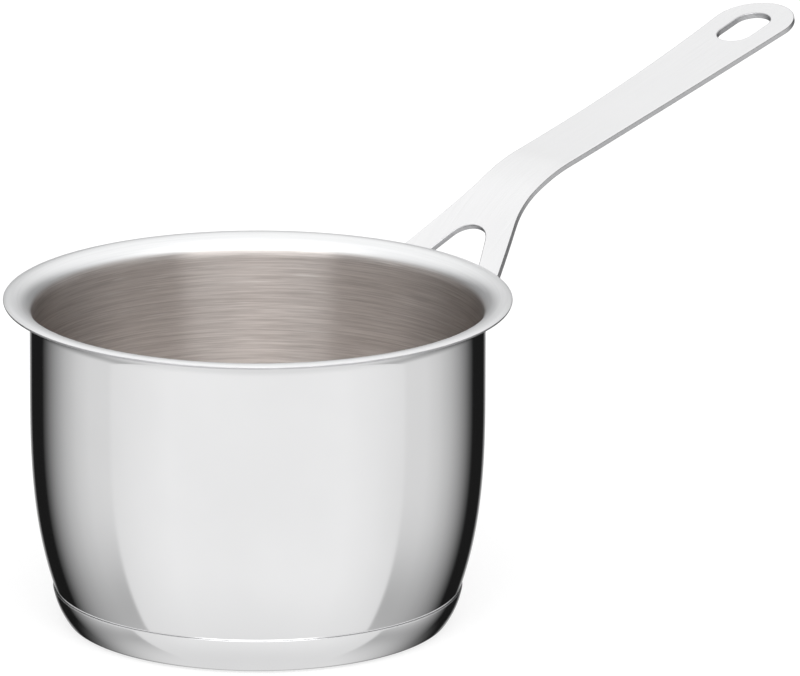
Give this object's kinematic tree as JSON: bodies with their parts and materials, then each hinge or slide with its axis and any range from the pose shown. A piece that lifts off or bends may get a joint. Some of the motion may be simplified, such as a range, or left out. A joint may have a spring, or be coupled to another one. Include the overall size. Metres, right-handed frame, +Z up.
{
  "type": "saucepan",
  "caption": "Stainless steel saucepan with a rolled pouring rim, an encapsulated sandwich base and a forked flat plate handle that has a hanging slot.",
  "frame": {"origin": "centre of the flat underside, where the pan stands", "axes": "+Z up along the pan's axis, +X from the pan's axis out along the handle, +Y to the left of the handle"},
  "size_m": [0.3441, 0.1582, 0.1443],
  "materials": {
    "polished_steel": "mirror polished outside, fine circular brushing inside",
    "cap_steel": "mirror polished side, turned underside",
    "handle_steel": "satin polished",
    "core_aluminium": "pressed, matt",
    "braze": "matt",
    "weld_steel": "dull"
  },
  "bodies": {
    "root": {"pan_body": "polished_steel", "base_cap": "cap_steel", "heat_spreader": "core_aluminium", "upper_braze": "braze", "lower_braze": "braze", "handle": "handle_steel", "spot_weld_left_lower": "weld_steel", "spot_weld_left_upper": "weld_steel", "spot_weld_right_lower": "weld_steel", "spot_weld_right_upper": "weld_steel"}
  },
  "joints": []
}
